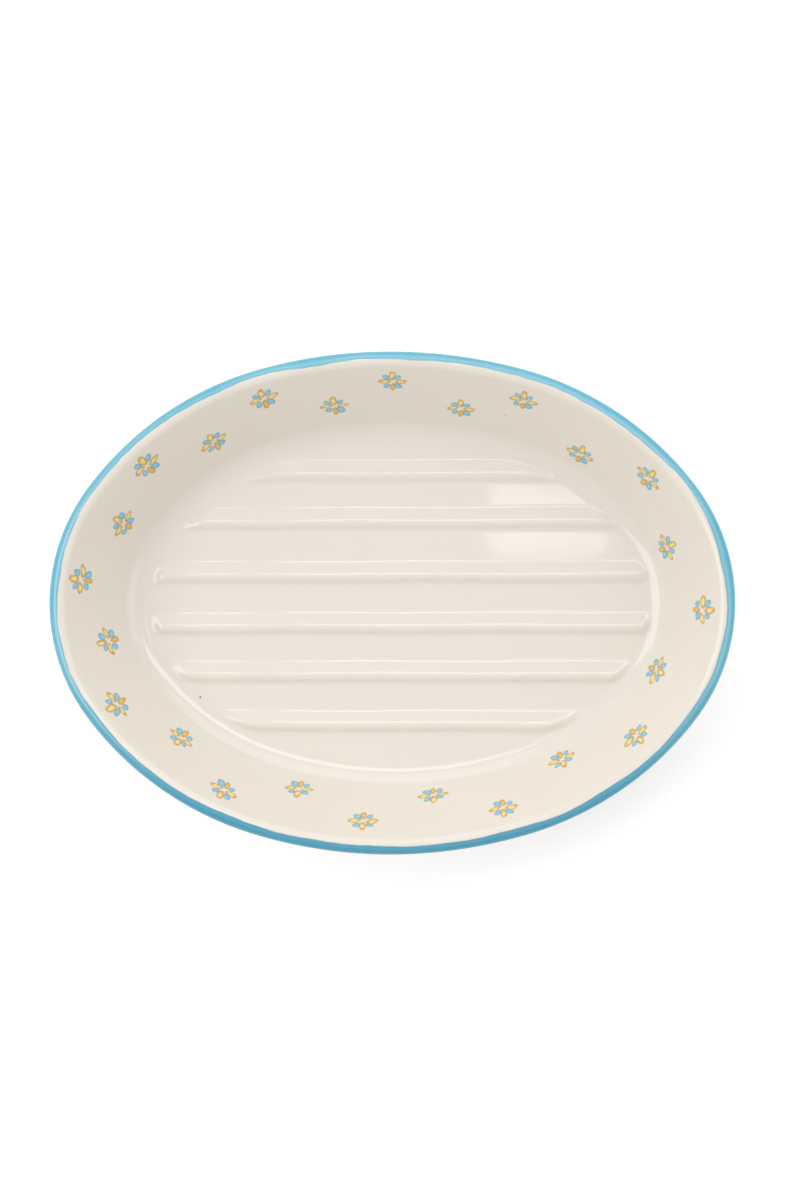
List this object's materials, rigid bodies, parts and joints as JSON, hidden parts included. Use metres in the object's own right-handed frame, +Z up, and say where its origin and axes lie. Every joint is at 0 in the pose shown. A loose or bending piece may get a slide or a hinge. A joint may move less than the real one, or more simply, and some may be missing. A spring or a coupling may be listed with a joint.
{
  "type": "soap dish",
  "caption": "Oval glazed stoneware soap dish with a flared wall, raised drip ribs across the floor, a blue banded lip and a low bare foot ring.",
  "frame": {"origin": "on the plane the dish stands on, under the middle of the oval", "axes": "+X along the length of the dish and of its ribs, +Y across its width, +Z up"},
  "size_m": [0.15, 0.11, 0.026],
  "materials": {
    "bare_stoneware": "fired stoneware clay, bare only on the wiped foot ring, fine sandy tooth",
    "cream_glaze": "cream semi-opaque gloss glaze, slightly uneven",
    "blue_glaze": "hand-banded sky-blue gloss glaze, pooled darker at its edges"
  },
  "bodies": {
    "root": {"stoneware_body": "bare_stoneware", "soap_ribs": "cream_glaze", "inner_glaze": "cream_glaze", "outer_glaze": "cream_glaze", "base_glaze": "cream_glaze", "rim_glaze": "blue_glaze"}
  },
  "joints": []
}
